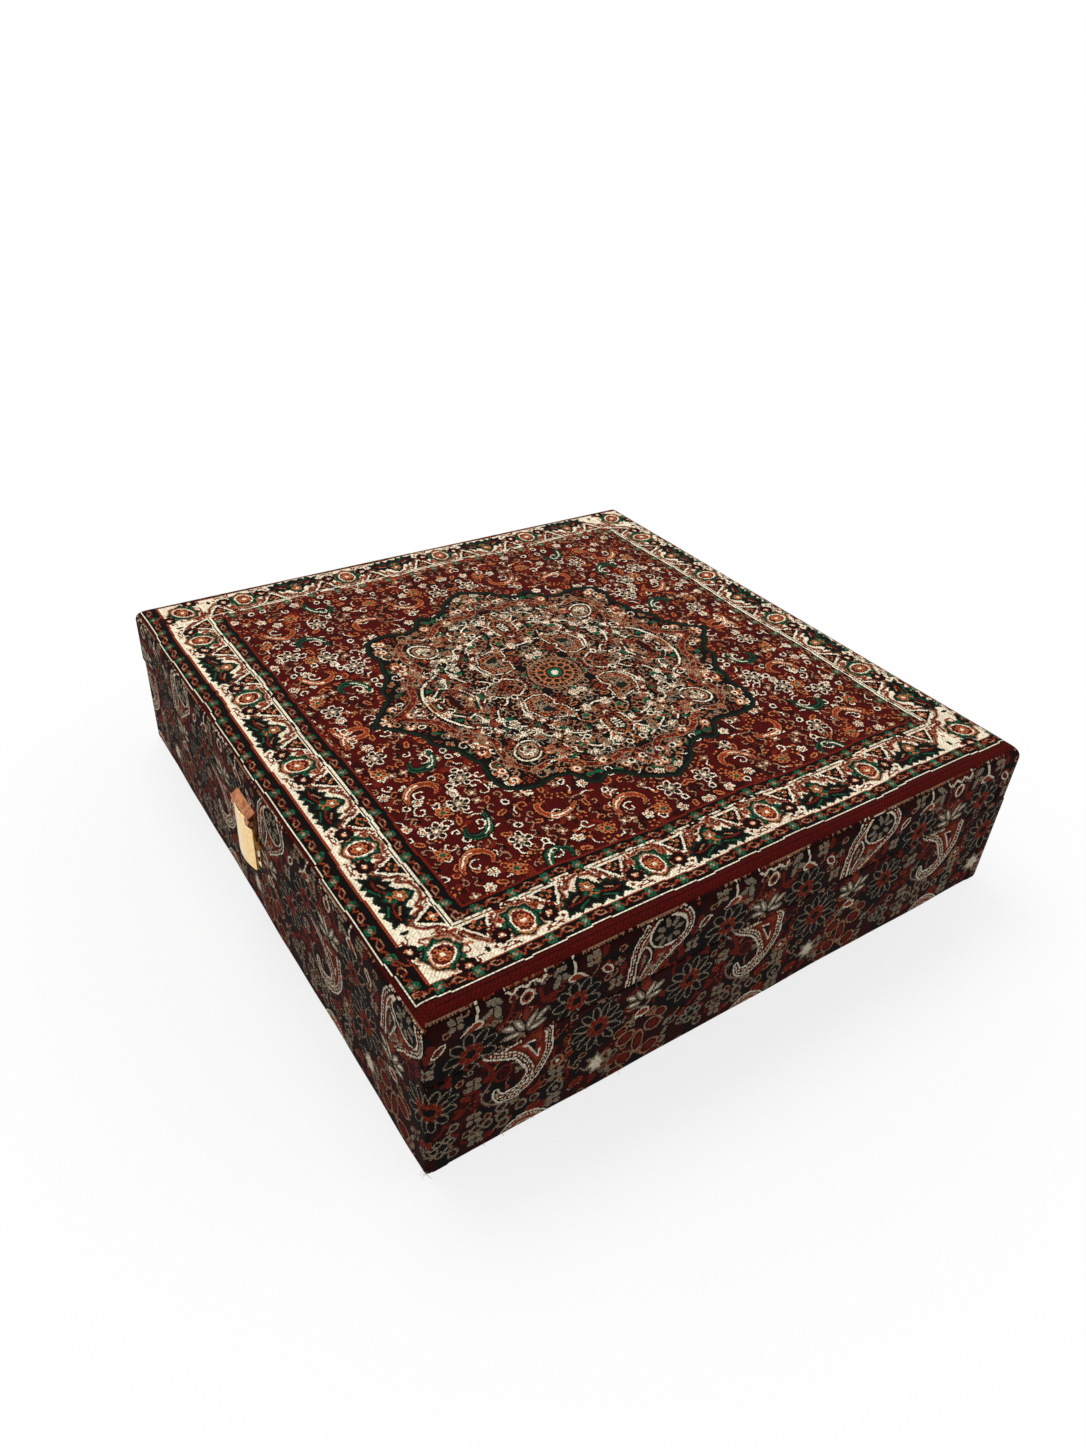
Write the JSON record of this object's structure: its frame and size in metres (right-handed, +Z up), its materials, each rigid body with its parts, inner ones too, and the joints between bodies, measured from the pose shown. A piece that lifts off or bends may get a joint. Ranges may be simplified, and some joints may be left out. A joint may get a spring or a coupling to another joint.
{
  "type": "serving box",
  "caption": "Square cloth covered serving box with a padded hinged lid, a small front hasp and divided compartments.",
  "frame": {"origin": "centre of the underside, on the table", "axes": "+Z up, -Y out of the front with the hasp, +Y out of the back with the hinges"},
  "size_m": [0.302, 0.3124, 0.077],
  "materials": {
    "board": "matt",
    "pattern_cloth": "woven",
    "lining": "velvet",
    "felt": "matt",
    "foam": "matt",
    "gold_metal": "polished"
  },
  "bodies": {
    "base": {"base_front_wall": "board", "base_back_wall": "board", "base_left_wall": "board", "base_right_wall": "board", "base_bottom_panel": "board", "base_cover_cloth": "pattern_cloth", "underside_felt": "felt", "base_floor_lining": "lining", "base_wall_lining": "lining", "divider_lengthwise_1": "lining", "divider_lengthwise_2": "lining", "divider_crosswise_1": "lining", "divider_crosswise_2": "lining", "hinge_left_base_leaf": "gold_metal", "hinge_left_pin": "gold_metal", "hinge_right_base_leaf": "gold_metal", "hinge_right_pin": "gold_metal", "base_hinge_screws": "gold_metal", "latch_catch_plate": "gold_metal", "latch_catch_nails": "gold_metal"},
    "lid": {"lid_top_panel": "board", "lid_front_wall": "board", "lid_back_wall": "board", "lid_left_wall": "board", "lid_right_wall": "board", "lid_foam_pad": "foam", "lid_cover_cloth": "pattern_cloth", "lid_top_lining": "lining", "lid_wall_lining": "lining", "lid_hinge_screws": "gold_metal", "hinge_left_lid_leaf": "gold_metal", "hinge_right_lid_leaf": "gold_metal", "latch_lid_plate": "gold_metal", "latch_pin": "gold_metal", "latch_lid_nails": "gold_metal"},
    "flap": {"latch_flap": "gold_metal"}
  },
  "joints": [
    {"name": "lid_hinge", "type": "hinge", "parent": "base", "child": "lid", "pos_m": [0, 0.15225, 0.04835], "axis": [-1, 0, 0], "range_deg": [0, 105]},
    {"name": "hasp_flap", "type": "hinge", "parent": "lid", "child": "flap", "pos_m": [0, -0.1528, 0.05515], "axis": [-1, 0, 0], "range_deg": [0, 95]}
  ]
}
